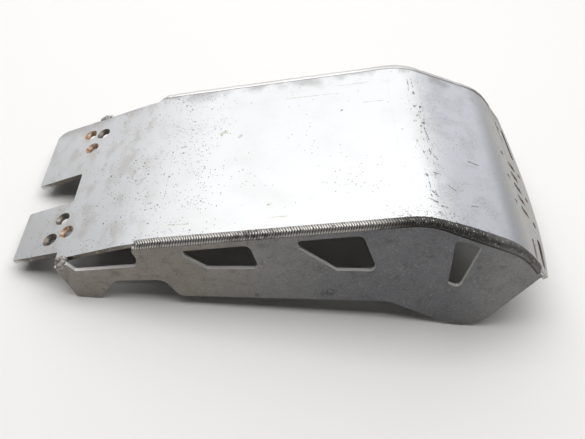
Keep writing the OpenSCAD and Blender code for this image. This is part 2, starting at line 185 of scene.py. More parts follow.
@dataclass(frozen=True)
class Profile:
    """Bent profile of the belly's outer face and the planes of the side plates, as in the CAD part."""

    rear_z_mm: float = 18.0
    rear_len_mm: float = 142.0
    rear_rise: float = 25.2
    belly_len_mm: float = 279.0
    belly_rise: float = 12.6
    brow_len_mm: float = 102.5
    brow_fall: float = 17.3
    nose_len_mm: float = 79.0
    nose_fall: float = 48.1
    rear_bend_r_mm: float = 220.0
    brow_bend_r_mm: float = 70.0
    nose_bend_r_mm: float = 68.0
    side_t_mm: float = 4.0
    side_drop_mm: float = 2.0
    half_width_mm: float = 117.5
    toe: float = 1.9
    flare: float = 2.35
    rear_x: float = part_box("belly_plate")[0].x

    @cached_property
    def headings(self) -> tuple[float, ...]:
        """Headings of the four panels in radians, from the rear panel to the nose panel."""
        return tuple(map(math.radians, (self.rear_rise, self.belly_rise, -self.brow_fall, -self.nose_fall)))

    def corner(self, number: int) -> Pair:
        """Return a vertex of the straight panels, in x and z.

        Args:
            number: 0 for the rear edge, 1 to 3 for the bends and 4 for the nose's tip.

        Returns:
            Its x from the rear edge and its z, in millimetres.
        """
        x, z = 0.0, self.rear_z_mm
        lengths = (self.rear_len_mm, self.belly_len_mm, self.brow_len_mm, self.nose_len_mm)
        for length, heading in list(zip(lengths, self.headings))[:number]:
            x += length * math.cos(heading)
            z += length * math.sin(heading)
        return x, z

    def on_panel(self, number: int, along_mm: float, y_mm: float) -> Vector:
        """Return a point of a flat panel in the row frame.

        Args:
            number: 0 rear panel, 1 belly panel, 2 brow panel, 3 nose panel.
            along_mm: Distance from the panel's rear vertex.
            y_mm: Distance from the middle.

        Returns:
            The point in metres.
        """
        x, z = self.corner(number)
        x += along_mm * math.cos(self.headings[number])
        z += along_mm * math.sin(self.headings[number])
        return Vector((self.rear_x + x * MM, y_mm * MM, z * MM))

    @cached_property
    def stretches(self) -> tuple[Point, ...]:
        """Follow a seam's stretches from the middle of the rear bend.

        Returns:
            Length, first heading and bend radius of each stretch, with a radius of 0 for a straight one.
        """
        rear, belly, brow, nose = self.headings
        lead_1, lead_2, lead_3 = (self.lead_mm(number) for number in (1, 2, 3))
        return ((self.rear_bend_r_mm * (rear - belly) / 2, (rear + belly) / 2, self.rear_bend_r_mm),
                (self.belly_len_mm - lead_1 - lead_2, belly, 0.0),
                (self.brow_bend_r_mm * (belly - brow), belly, self.brow_bend_r_mm),
                (self.brow_len_mm - lead_2 - lead_3, brow, 0.0),
                (self.nose_bend_r_mm * (brow - nose), brow, self.nose_bend_r_mm),
                (self.nose_len_mm, nose, 0.0))

    def bend(self, number: int) -> Point:
        """Return the headings before and after a bend in radians, and its radius in millimetres.

        Args:
            number: 1 for the rear bend, 2 for the brow bend and 3 for the nose bend.

        Returns:
            Both headings and the radius.
        """
        radius = (self.rear_bend_r_mm, self.brow_bend_r_mm, self.nose_bend_r_mm)[number - 1]
        return self.headings[number - 1], self.headings[number], radius

    def lead_mm(self, number: int) -> float:
        """Return the distance from a bend's vertex to the start of its round."""
        before, after, radius = self.bend(number)
        return radius * math.tan((before - after) / 2)

    def seam(self, s_mm: float) -> Point:
        """Follow the outer face from the middle of the rear bend.

        Args:
            s_mm: Length along the face.

        Returns:
            x from the rear edge and z in millimetres, and the heading in radians.
        """
        before, after, radius = self.bend(1)
        middle = (before + after) / 2
        sag = radius / math.cos((before - after) / 2) - radius
        x, z = self.corner(1)
        x += sag * math.sin(middle)
        z -= sag * math.cos(middle)
        now = middle
        for length, heading, radius in self.stretches:
            step = min(s_mm, length)
            now = heading - step / radius if radius else heading
            if radius:
                x += radius * (math.sin(heading) - math.sin(now))
                z += radius * (math.cos(now) - math.cos(heading))
            else:
                x += step * math.cos(heading)
                z += step * math.sin(heading)
            s_mm -= step
            if s_mm <= 0:
                break
        return x, z, now

    def seam_end_mm(self, past_nose_mm: float) -> float:
        """Return the length along a seam at which it has passed the nose bend's vertex by a distance."""
        return sum(stretch[0] for stretch in self.stretches[:5]) - self.lead_mm(3) + past_nose_mm

    def outward(self, at: Vector) -> Vector:
        """Return the direction out of the belly's outer face at a point of the sheet.

        Args:
            at: The point in the row frame.

        Returns:
            A unit vector.
        """
        x_mm, z_mm = (at.x - self.rear_x) / MM, at.z / MM
        for number in (1, 2, 3):
            before, after, radius = self.bend(number)
            x, z = self.corner(number)
            lead = self.lead_mm(number)
            centre_x = x - lead * math.cos(before) + radius * math.sin(before)
            centre_z = z - lead * math.sin(before) - radius * math.cos(before)
            heading = min(before, -math.atan2(x_mm - centre_x, z_mm - centre_z))
            if heading > after:
                return Vector((-math.sin(heading), 0, math.cos(heading)))
        return Vector((-math.sin(after), 0, math.cos(after)))

    def inner_half_mm(self, x_mm: float, z_mm: float) -> float:
        """Return half of the clear width between the side plates at a point of the profile's plane."""
        flare = math.tan(math.radians(self.flare)) / math.cos(math.radians(self.toe))
        return self.half_width_mm + x_mm * math.tan(math.radians(self.toe)) - z_mm * flare

    @property
    def side_y_mm(self) -> float:
        """Thickness of a side plate measured across the plate."""
        return self.side_t_mm / (math.cos(math.radians(self.toe)) * math.cos(math.radians(self.flare)))


PROFILE = Profile()


class Look:
    """A node material while it is being made, with its Principled shader and its Object coordinates."""

    pit_floor: float = 0.55
    stroke_core: float = 0.4

    def __init__(self, name: str, edge_mm: float = 0.6) -> None:
        """Start a material with its output, shader, coordinates and worn edges.

        Args:
            name: The material's name.
            edge_mm: Radius to which its sharp edges are worn.
        """
        self.material = bpy.data.materials.new(name)
        self.material.use_nodes = True
        self.tree = self.material.node_tree
        self.tree.nodes.clear()
        self.shader = add_node(self.tree, "ShaderNodeBsdfPrincipled")
        add_node(self.tree, "ShaderNodeOutputMaterial", {"Surface": self.shader.outputs[0]})
        self.place = add_node(self.tree, "ShaderNodeTexCoord").outputs["Object"]
        self.rounded = None
        if edge_mm:
            bevel = add_node(self.tree, "ShaderNodeBevel", {"Radius": edge_mm * MM}, samples=4)
            self.rounded = bevel.outputs[0]

    def blotches(self, size_mm: float, low: float, high: float, detail: float = 4.0,
                 stretch: Point = (1.0, 1.0, 1.0), shift: float = 0.0) -> Socket:
        """Make soft cloudy patches.

        Args:
            size_mm: Width of a patch.
            low: Noise level at which a patch starts.
            high: Noise level at which it is full.
            detail: How much finer structure it has.
            stretch: How many times finer it is along each axis.
            shift: Distance that moves the pattern to another part of the noise.

        Returns:
            A mask from 0 to 1.
        """
        mapping = add_node(self.tree, "ShaderNodeMapping",
                           {"Vector": self.place, "Scale": stretch, "Location": (shift, shift, shift)})
        cloud = add_node(self.tree, "ShaderNodeTexNoise",
                         {"Vector": mapping.outputs[0], "Scale": 1 / (size_mm * MM), "Detail": detail})
        return self.sharpen(cloud.outputs[0], low, high)

    def pits(self, cell_mm: float, radius_mm: float, share: Socket | float, shift: float = 0.0) -> Socket:
        """Scatter small round pits, at most one in each cell.

        Args:
            cell_mm: Distance between neighbouring cells.
            radius_mm: Radius of a pit.
            share: Share of the cells that hold a pit, from 0 to 1.
            shift: Distance that moves the pattern.

        Returns:
            A mask that is 1 in the pits.
        """
        moved = add_node(self.tree, "ShaderNodeMapping",
                         {"Vector": self.place, "Location": (shift, shift, shift)})
        cells = add_node(self.tree, "ShaderNodeTexVoronoi",
                         {"Vector": moved.outputs[0], "Scale": 1 / (cell_mm * MM), "Randomness": 1.0})
        inside = self.within(cells.outputs["Distance"], radius_mm / cell_mm, self.pit_floor)
        chosen = add_node(self.tree, "ShaderNodeSeparateColor", {"Color": cells.outputs["Color"]})
        kept = add_node(self.tree, "ShaderNodeMath", {0: chosen.outputs[0], 1: share}, operation="LESS_THAN")
        return self.both(inside, kept.outputs[0])

    def stroke(self, start: Vector, end: Vector, half_mm: float) -> Socket:
        """Draw a straight stroke between two points of the piece.

        Args:
            start: One end, in metres.
            end: The other end.
            half_mm: Half of the stroke's width.

        Returns:
            A mask that is 1 on the stroke.
        """
        run = end - start
        away = add_node(self.tree, "ShaderNodeVectorMath", {0: self.place, 1: tuple(start)},
                        operation="SUBTRACT").outputs[0]
        share = add_node(self.tree, "ShaderNodeVectorMath", {0: away, 1: tuple(run / run.length_squared)},
                         operation="DOT_PRODUCT")
        held = add_node(self.tree, "ShaderNodeClamp", {"Value": share.outputs["Value"]})
        foot = add_node(self.tree, "ShaderNodeVectorMath", {0: tuple(run), "Scale": held.outputs[0]},
                        operation="SCALE")
        gap = add_node(self.tree, "ShaderNodeVectorMath", {0: away, 1: foot.outputs[0]}, operation="DISTANCE")
        return self.within(gap.outputs["Value"], half_mm * MM, self.stroke_core)

    def within(self, distance: Socket, reach: float, core: float) -> Socket:
        """Mark what is near.

        Args:
            distance: How far each point is away.
            reach: Distance at which the mask ends.
            core: Share of the reach in which the mask is full.

        Returns:
            The mask.
        """
        return add_node(self.tree, "ShaderNodeMapRange",
                        {"Value": distance, "From Min": reach * core, "From Max": reach,
                         "To Min": 1.0, "To Max": 0.0}).outputs[0]

    def band(self, axis: str, start: float, full: float) -> Socket:
        """Fade from 0 to 1 along an axis.

        Args:
            axis: X, Y or Z.
            start: Place where the mask is 0, in metres.
            full: Place where it is 1, which may lie on the lower side.

        Returns:
            The mask.
        """
        split = add_node(self.tree, "ShaderNodeSeparateXYZ", {0: self.place})
        return self.sharpen(split.outputs[axis], start, full)

    def zone(self, rise: Pair, fall: Pair) -> Socket:
        """Mark a stretch along X, from where it fades in to where it fades out."""
        return self.both(self.band("X", *rise), self.band("X", *fall))

    def both(self, *masks: Socket | float) -> Socket:
        """Multiply masks, so that the result is high only where all of them are."""
        return self.joined("MULTIPLY", masks)

    def either(self, *masks: Socket) -> Socket:
        """Take the highest of several masks."""
        return self.joined("MAXIMUM", masks)

    def joined(self, operation: str, masks: tuple[Socket | float, ...]) -> Socket:
        """Join masks one after the other.

        Args:
            operation: What two masks are joined by.
            masks: The masks.

        Returns:
            The joined mask.
        """
        result = masks[0]
        for mask in masks[1:]:
            inputs = {0: result, 1: mask}
            result = add_node(self.tree, "ShaderNodeMath", inputs, operation=operation).outputs[0]
        return result

    def tint(self, under: Socket | str, over: str, mask: Socket, strength: float = 1.0) -> Socket:
        """Lay a colour over another one.

        Args:
            under: Colour below, as a socket or a hex colour.
            over: Hex colour on top.
            mask: Where the upper colour lies.
            strength: How much of it shows there.

        Returns:
            The mixed colour.
        """
        lower = linear(under) if isinstance(under, str) else under
        return add_node(self.tree, "ShaderNodeMix", {0: self.both(mask, strength), 6: lower, 7: linear(over)},
                        data_type="RGBA").outputs[2]

    def between(self, mask: Socket, low: float, high: float) -> Socket:
        """Turn a mask into a value between two ends."""
        return add_node(self.tree, "ShaderNodeMapRange",
                        {"Value": mask, "To Min": low, "To Max": high}).outputs[0]

    def sharpen(self, mask: Socket, low: float, high: float) -> Socket:
        """Stretch the part of a mask between two levels to the whole range."""
        return add_node(self.tree, "ShaderNodeMapRange", {"Value": mask, "From Min": low, "From Max": high},
                        interpolation_type="SMOOTHSTEP").outputs[0]

    def relief(self, height: Socket, depth_mm: float, strength: float = 1.0,
               under: Socket | None = None) -> Socket:
        """Make a bump from a height.

        Args:
            height: Height from 0 to 1.
            depth_mm: Real height of a step of 1.
            strength: How much of it shows.
            under: Normal of a coarser relief below.

        Returns:
            The normal.
        """
        inputs = {"Height": height, "Distance": depth_mm * MM, "Strength": strength}
        if under or self.rounded:
            inputs["Normal"] = under or self.rounded
        return add_node(self.tree, "ShaderNodeBump", inputs).outputs[0]

    def finish(self, **sockets: Any) -> bpy.types.Material:
        """Set or link the shader's sockets and return the material.

        Args:
            **sockets: Values or sockets by the shader's input names, with _ for a space.

        Returns:
            The finished material.
        """
        for name, value in sockets.items():
            target = self.shader.inputs[name.replace("_", " ")]
            if isinstance(value, Socket):
                self.tree.links.new(value, target)
            else:
                target.default_value = value
        return self.material


@dataclass(frozen=True)
class Mark:
    """A stroke on a flat panel of the belly, from its rear vertex and its middle, in millimetres."""

    panel: int
    start: Pair
    end: Pair
    half_mm: float

    def draw(self, look: Look) -> Socket:
        """Return the stroke's mask."""
        start, end = (PROFILE.on_panel(self.panel, *place) for place in (self.start, self.end))
        return look.stroke(start, end, self.half_mm)


@dataclass(frozen=True)
class RolledAluminium:
    """Aluminium sheet, rolled and worn satin by gravel: pale, soft highlights and dark pits."""

    name: str = "rolled_aluminium_worn_satin"
    metal: str = "#CFD0D2"
    # Painted highlight: this paler tone lies over the belly panel, where the key softbox's reflection falls.
    worn: str = "#DBDCDD"
    tip: str = "#B9B7B3"
    warm: str = "#BDBAB6"
    cool: str = "#BDBFC5"
    smudge: str = "#8E8C8C"
    stain: str = "#A29A8E"
    pit: str = "#2E2A27"
    ochre: str = "#8A7C40"
    gouge: str = "#3C3832"
    highlight_belly_x: Zone = ((-0.14, -0.07), (0.16, 0.12))
    brow_x: Zone = ((0.13, 0.17), (0.25, 0.21))
    haze_x: Zone = ((0.12, 0.15), (0.22, 0.19))
    chafed_bend_x: Zone = ((0.125, 0.132), (0.146, 0.138))
    chafed_seam_x: Zone = ((0.06, 0.13), (0.17, 0.15))
    pitted_rear_x: Zone = ((-0.225, -0.15), (-0.05, -0.10))
    pitted_brow_x: Zone = ((0.10, 0.145), (0.24, 0.19))
    scratches: tuple[Mark, ...] = (
        Mark(1, (147, 85), (205, 84), 0.7), Mark(1, (231, 61.5), (253, 61), 0.7),
        Mark(1, (33, -99), (55, -101), 0.7), Mark(1, (130, -103), (149, -103.5), 0.6),
        Mark(1, (205, 98), (240, 99), 0.6))
    stains: tuple[Mark, ...] = (
        Mark(1, (76, 34), (80, 37), 3.0), Mark(1, (96, 25), (98, 28), 2.2), Mark(1, (33, 18), (38, 19), 1.8),
        Mark(1, (8, -65), (11, -65), 1.8), Mark(1, (130, -85), (132, -85), 1.8))
    scuffs: tuple[Mark, ...] = (
        Mark(2, (9, -84), (14, -90), 1.6), Mark(2, (16, -103), (22, -103), 1.6),
        Mark(2, (15, -56), (22, -56), 1.0), Mark(2, (27, -68), (38, -76), 0.8),
        Mark(1, (269, -72), (273, -86), 0.8), Mark(2, (14, 18), (17, -4), 1.0),
        Mark(2, (6, -96), (12, -99), 1.8), Mark(2, (50, -90), (58, -88), 0.9),
        Mark(1, (207, 51.5), (208, 52), 1.4), Mark(1, (273, 62), (278, 61), 1.8),
        Mark(2, (20, -30), (22, -33), 1.4), Mark(1, (268, 8), (269, 8), 1.2),
        Mark(2, (60, -20), (72, -21), 1.1), Mark(2, (10, 40), (12, 30), 0.9))

    def build(self) -> bpy.types.Material:
        """Make the belly's outer face.

        Returns:
            The material.
        """
        look = Look(self.name, edge_mm=0.0)
        # Painted highlight: the belly panel is painted paler where the softbox's reflection falls.
        colour = look.tint(self.metal, self.worn, look.zone(*self.highlight_belly_x))
        colour = look.tint(colour, self.warm, look.blotches(60, 0.45, 0.7), 0.2)
        # Painted reflection: the brow is painted a cooler, darker grey where it turns away from the key
        # softbox's reflection.
        colour = look.tint(colour, self.cool, look.zone(*self.brow_x))
        # Painted shade: the nose panel is painted darker towards its tip.
        colour = look.tint(colour, self.tip, look.band("X", 0.2, 0.25), 0.9)
        haze = look.both(look.zone(*self.haze_x), look.blotches(24, 0.42, 0.6, shift=9.0),
                         look.blotches(1.3, 0.38, 0.62, shift=8.0))
        colour = look.tint(colour, self.smudge, haze, 0.4)
        far_edge = look.both(look.band("Y", 0.09, 0.118), look.blotches(28, 0.4, 0.62, shift=1.0))
        colour = look.tint(colour, self.smudge, far_edge, 0.6)
        rear = look.both(look.band("X", -0.12, -0.16),
                         look.blotches(14, 0.45, 0.7, stretch=(1.0, 0.5, 1.0), shift=2.0))
        colour = look.tint(colour, self.stain, rear, 0.3)
        pits = self.pitting(look)
        colour = look.tint(colour, self.pit, pits, 0.9)
        broken = look.blotches(1.6, 0.38, 0.55, shift=5.0)
        ochre = look.both(look.either(*(mark.draw(look) for mark in self.scratches + self.stains)), broken)
        colour = look.tint(colour, self.ochre, ochre, 0.6)
        scuffed = look.both(look.either(*(mark.draw(look) for mark in self.scuffs)), broken)
        bend = look.both(look.zone(*self.chafed_bend_x),
                         look.blotches(2.6, 0.6, 0.66, stretch=(1.0, 0.3, 1.0), shift=6.0))
        seam = look.both(look.zone(*self.chafed_seam_x), look.band("Y", -0.102, -0.114),
                         look.blotches(2.2, 0.58, 0.65))
        dark = look.either(scuffed, bend, seam)
        colour = look.tint(colour, self.gouge, dark, 0.8)
        bump = look.relief(look.blotches(1.1, 0.25, 0.75, detail=6.0), 0.02, 0.6)
        bump = look.relief(look.either(pits, dark), -0.15, 0.8, bump)
        roughness = look.between(look.blotches(3, 0.3, 0.7, shift=4.0), 0.44, 0.54)
        return look.finish(Base_Color=colour, Metallic=0.9, Roughness=roughness, Normal=bump)

    def pitting(self, look: Look) -> Socket:
        """Scatter gravel pits, dense across the rear bend and sparse over the belly and the brow.

        Args:
            look: The material being made.

        Returns:
            A mask that is 1 in the pits.
        """
        dense = look.both(look.zone(*self.pitted_rear_x), look.blotches(30, 0.32, 0.55))
        brow = look.both(look.zone(*self.pitted_brow_x), look.blotches(30, 0.35, 0.6, shift=7.0))
        sparse = look.blotches(45, 0.48, 0.68, shift=3.0)
        return look.either(look.pits(2.7, 0.65, look.both(dense, 0.8)),
                           look.pits(6.0, 1.1, look.both(dense, 0.4), 0.4),
                           look.pits(3.8, 0.7, look.both(sparse, 0.7), 0.8),
                           look.pits(2.4, 0.55, look.both(brow, 0.3), 1.2))


@dataclass(frozen=True)
class OxidisedAluminium:
    """Side plate left in the weather: the same sheet under a dull, mottled, darker oxide."""

    name: str = "side_aluminium_oxidised"
    warm: str = "#938D86"
    cool: str = "#8A8988"
    shade: str = "#737478"
    light: str = "#A5A29E"
    grime: str = "#544F48"
    pit: str = "#2C2926"
    shade_x: Zone = ((-0.02, 0.08), (0.22, 0.16))
    crack_mm: tuple[Point, Point] = ((-36.8, -125.4, 99.3), (-38.3, -125.6, 91.7))
    smear_mm: tuple[Point, Point] = ((41.0, -130.5, 34.0), (46.0, -130.8, 35.0))

    def build(self) -> bpy.types.Material:
        """Make the side plates' outer face.

        Returns:
            The material.
        """
        look = Look(self.name)
        colour = look.tint(self.warm, self.cool, look.band("X", -0.10, 0.0))
        colour = look.tint(colour, self.shade, look.zone(*self.shade_x), 0.9)
        colour = look.tint(colour, self.grime, look.blotches(9, 0.5, 0.78, detail=6.0, shift=1.0), 0.4)
        colour = look.tint(colour, self.grime, look.blotches(1.6, 0.5, 0.68, detail=3.0, shift=5.0), 0.35)
        colour = look.tint(colour, self.light, look.blotches(2.2, 0.52, 0.72, detail=4.0, shift=4.0), 0.4)
        crack = look.stroke(*(Vector(place) * MM for place in self.crack_mm), 0.5)
        smear = look.both(look.stroke(*(Vector(place) * MM for place in self.smear_mm), 7.0),
                          look.blotches(2.5, 0.4, 0.6, shift=6.0))
        colour = look.tint(colour, self.pit, look.either(crack, smear), 0.6)
        pits = look.pits(4.5, 0.6, look.both(look.blotches(40, 0.4, 0.7, shift=2.0), 0.35))
        spots = look.pits(26.0, 4.0, look.both(look.blotches(3.0, 0.45, 0.6, shift=3.0), 0.3), 1.3)
        colour = look.tint(colour, self.pit, look.either(pits, look.both(spots, 0.5)), 0.75)
        bump = look.relief(look.blotches(0.9, 0.2, 0.8, detail=5.0), 0.02, 0.5)
        roughness = look.between(look.blotches(18, 0.3, 0.7, shift=3.0), 0.48, 0.6)
        return look.finish(Base_Color=colour, Metallic=0.75, Roughness=roughness, Normal=bump)


@dataclass(frozen=True)
class ShadedInnerAluminium:
    """Inner faces, painted a near black, warm brown for the shade inside the hollow, with darker patches, and
    nearly without gloss.
    """

    name: str = "inner_aluminium_painted_shade"
    metal: str = "#312B24"
    dirt: str = "#1D1913"

    def build(self) -> bpy.types.Material:
        """Make the inner faces.

        Returns:
            The material.
        """
        look = Look(self.name)
        # Painted shade: a near black brown base, darker in patches, stands for the shade under the plate.
        colour = look.tint(self.metal, self.dirt, look.blotches(40, 0.3, 0.6))
        bump = look.relief(look.blotches(1.5, 0.2, 0.8, detail=5.0), 0.05, 0.5)
        return look.finish(Base_Color=colour, Metallic=0.1, Roughness=0.75, Specular_IOR_Level=0.2,
                           Normal=bump)


@dataclass(frozen=True)
class CutAluminium:
    """Sawn and filed edge of the sheet: fine lines across the thickness, brown dirt in places."""

    name: str = "cut_edge_aluminium"
    metal: str = "#C9C6C1"
    dirt: str = "#4A4034"
    dirty: float = 0.85
    metallic: float = 0.85
    roughness: float = 0.42

    def build(self) -> bpy.types.Material:
        """Make the cut edges.

        Returns:
            The material.
        """
        look = Look(self.name)
        rear = look.both(look.band("X", -0.10, -0.17), look.band("Z", 0.016, 0.022),
                         look.blotches(5, 0.05, 0.45))
        tip = look.both(look.band("X", 0.25, 0.26), look.blotches(4, 0.0, 0.35))
        dirt = look.either(look.blotches(14, 0.55, 0.75), rear, tip)
        colour = look.tint(self.metal, self.dirt, dirt, self.dirty)
        bump = look.relief(look.blotches(0.8, 0.2, 0.8, detail=3.0), 0.04, 0.6)
        return look.finish(Base_Color=colour, Metallic=self.metallic, Roughness=self.roughness, Normal=bump)


@dataclass(frozen=True)
class WeldedAluminium:
    """Bead laid by hand: bright crests, painted shade in the grooves between ripples, and weld smut along the
    toes near the nose, partly painted shade there.
    """

    name: str = "bead_aluminium_rippled"
    crest: str = "#B2AFAB"
    soot_and_shade: str = "#1F1C19"
    shade: str = "#6F6A64"
    bright: str = "#C4C0BA"
    darkening: float = 0.85
    patches_x: Zone = ((-0.07, -0.04), (0.0, -0.025))
    glint_mm: Pair = (339.0, 345.0)
    glint_half_mm: float = 3.6

    @staticmethod
    def on_seam(s_mm: float) -> Vector:
        """Return a point on the crown of the left bead, in metres, at a length along the seam."""
        x, z, _ = PROFILE.seam(s_mm)
        return Vector((PROFILE.rear_x + x * MM, -PROFILE.inner_half_mm(x, z) * MM, z * MM))

    def build(self) -> bpy.types.Material:
        """Make the beads.

        Returns:
            The material.
        """
        look = Look(self.name)
        groove, across = (add_node(look.tree, "ShaderNodeAttribute", attribute_name=name).outputs["Fac"]
                          for name in ("groove", "across"))
        # Painted shade: the grooves between the ripples are darkened.
        colour = look.tint(self.crest, self.soot_and_shade, look.sharpen(groove, 0.08, 0.5), self.darkening)
        colour = look.tint(colour, self.shade, look.sharpen(across, 0.78, 0.95), 0.8)
        # Along the upper toe, soot and painted shade in the crease where the bead meets the belly.
        upper_toe = look.both(look.sharpen(across, 0.17, 0.05), look.blotches(3, 0.25, 0.5))
        dirty = look.either(look.both(look.zone(*self.patches_x), look.blotches(5, 0.4, 0.6)), upper_toe,
                            look.blotches(6, 0.55, 0.75, shift=2.0))
        colour = look.tint(colour, self.soot_and_shade, look.both(dirty, 0.8), self.darkening)
        # Near the nose the toes are darkened, partly soot and partly painted shade, which leaves a lighter
        # crown.
        toes = look.either(look.sharpen(across, 0.42, 0.2), look.sharpen(across, 0.62, 0.85))
        crown = look.both(look.blotches(2.5, 0.22, 0.46), 0.9)
        front = look.both(look.band("X", 0.06, 0.11), look.either(toes, crown),
                          look.between(look.band("X", 0.17, 0.22), 1.0, 0.72))
        colour = look.tint(colour, self.soot_and_shade, front, self.darkening * 1.1)
        # Painted highlight: a bright spot on the bead's crown over the brow.
        glint = look.stroke(*map(self.on_seam, self.glint_mm), self.glint_half_mm)
        colour = look.tint(colour, self.bright, glint, 0.75)
        bump = look.relief(look.blotches(0.9, 0.2, 0.8, detail=5.0), 0.08, 0.7)
        roughness = look.between(look.both(front, self.darkening), 0.36, 0.6)
        return look.finish(Base_Color=colour, Metallic=0.9, Roughness=roughness, Normal=bump)


@dataclass(frozen=True)
class SpatteredAluminium:
    """Cold, lumpy bead of the rear tabs: matt grey metal with darker crevices."""

    name: str = "tab_bead_aluminium_matt"
    metal: str = "#AFACA8"
    crevice: str = "#777269"

    def build(self) -> bpy.types.Material:
        """Make the beads behind the rear tabs.

        Returns:
            The material.
        """
        look = Look(self.name)
        lumps = look.blotches(2.6, 0.4, 0.6, detail=5.0)
        colour = look.tint(self.crevice, self.metal, lumps)
        bump = look.relief(lumps, 0.16, 0.6)
        return look.finish(Base_Color=colour, Metallic=0.7, Roughness=0.6, Normal=bump)


@dataclass(frozen=True)
class RustStain:
    """Countersunk seat stained by a steel screw: brown rust over the aluminium."""

    name: str = "countersink_rust_stained"
    metal: str = "#B9B4AB"
    rust: str = "#8A5A2C"

    def build(self) -> bpy.types.Material:
        """Make the countersunk seats.

        Returns:
            The material.
        """
        look = Look(self.name)
        colour = look.tint(self.metal, self.rust, look.blotches(5, 0.35, 0.6), 0.9)
        return look.finish(Base_Color=colour, Metallic=0.5, Roughness=0.5)


@dataclass(frozen=True)
class StudioPaper:
    """Matt white paper of the floor, which stays white to the eye where the softboxes no longer reach."""

    name: str = "studio_paper_white"
    colour: str = "#F1F0EE"
    fade: Pair = (0.8, 2.2)

    def build(self) -> bpy.types.Material:
        """Make the floor's material.

        Returns:
            The material.
        """
        look = Look(self.name)
        away = add_node(look.tree, "ShaderNodeVectorMath", {0: look.place}, operation="LENGTH")
        seen = add_node(look.tree, "ShaderNodeLightPath").outputs["Is Camera Ray"]
        glow = look.both(look.sharpen(away.outputs["Value"], *self.fade), seen)
        return look.finish(Base_Color=linear(self.colour), Roughness=0.9, Specular_IOR_Level=0.1,
                           Emission_Color=linear(self.colour), Emission_Strength=glow)


@dataclass
class CutSheet:
    """A sheet of the part.

    The CAD node's mesh is copied and merged, each face gets the finish of the surface it belongs to, and the
    outer and inner faces get the normals of the true bends.
    """

    node: str
    name: str
    outward: Callable[[Vector], Vector]
    rusty: tuple[Vector, ...] = ()
    flat_cosine: float = 0.995
    seat_reach_mm: float = 9.5
    crease_degrees: float = 30.0

    def build(self, finishes: dict[Surface, bpy.types.Material]) -> bpy.types.Object:
        """Make the sheet and let it stand for its CAD node.

        Args:
            finishes: Material of each kind of surface.

        Returns:
            The finished piece.
        """
        shape = cad_shape(self.node)
        bmesh.ops.dissolve_degenerate(shape, dist=MERGE / 2, edges=shape.edges)
        piece = place_in_scene(self.name, mesh_of(shape, self.name))
        for surface in Surface:
            piece.data.materials.append(finishes[surface])
        for face in piece.data.polygons:
            face.material_index = self.surface_of(face).value
        self.shade_true(piece.data)
        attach(piece, BODY)
        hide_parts(self.node)
        return piece

    def surface_of(self, face: bpy.types.MeshPolygon) -> Surface:
        """Tell which kind of surface a face belongs to.

        Args:
            face: A face of the sheet.

        Returns:
            The kind.
        """
        facing = face.normal.dot(self.outward(face.center))
        if facing > self.flat_cosine:
            return Surface.OUTER
        if facing < -self.flat_cosine:
            return Surface.INNER
        if any((face.center - hole).length < self.seat_reach_mm * MM for hole in self.rusty):
            return Surface.SEAT
        return Surface.EDGE

    def shade_true(self, mesh: bpy.types.Mesh) -> None:
        """Give the faces the normals of the true bends and flats, and leave the cut edges as they are.

        Args:
            mesh: The sheet's mesh, with its finishes chosen.
        """
        mesh.polygons.foreach_set("use_smooth", [True] * len(mesh.polygons))
        mesh.set_sharp_from_angle(angle=math.radians(self.crease_degrees))
        sign = {Surface.OUTER.value: 1, Surface.INNER.value: -1}
        normals = [Vector((0, 0, 0))] * len(mesh.loops)
        for face in mesh.polygons:
            if face.material_index in sign:
                for loop in face.loop_indices:
                    at = mesh.vertices[mesh.loops[loop].vertex_index].co
                    normals[loop] = self.outward(at) * sign[face.material_index]
        mesh.normals_split_custom_set(normals)


def rusty_holes() -> tuple[Vector, ...]:
    """Find the belly's holes that a steel screw has stained.

    Returns:
        Their centres in the row frame.
    """
    turn = math.radians(2.3)
    nose_row, gap, pitch, middle = 20.4, 42.3, 40.5, -7.0
    holes = [PROFILE.on_panel(0, u, y) for u, y in ((58.1, -75.0), (49.0, 87.0), (57.2, 59.6))]
    for row, column in ((0, 1), (1, 1), (1, 0)):
        v, y = row * gap, middle + column * pitch
        holes.append(PROFILE.on_panel(3, nose_row + v * math.cos(turn) + y * math.sin(turn),
                                      y * math.cos(turn) - v * math.sin(turn)))
    return tuple(holes)


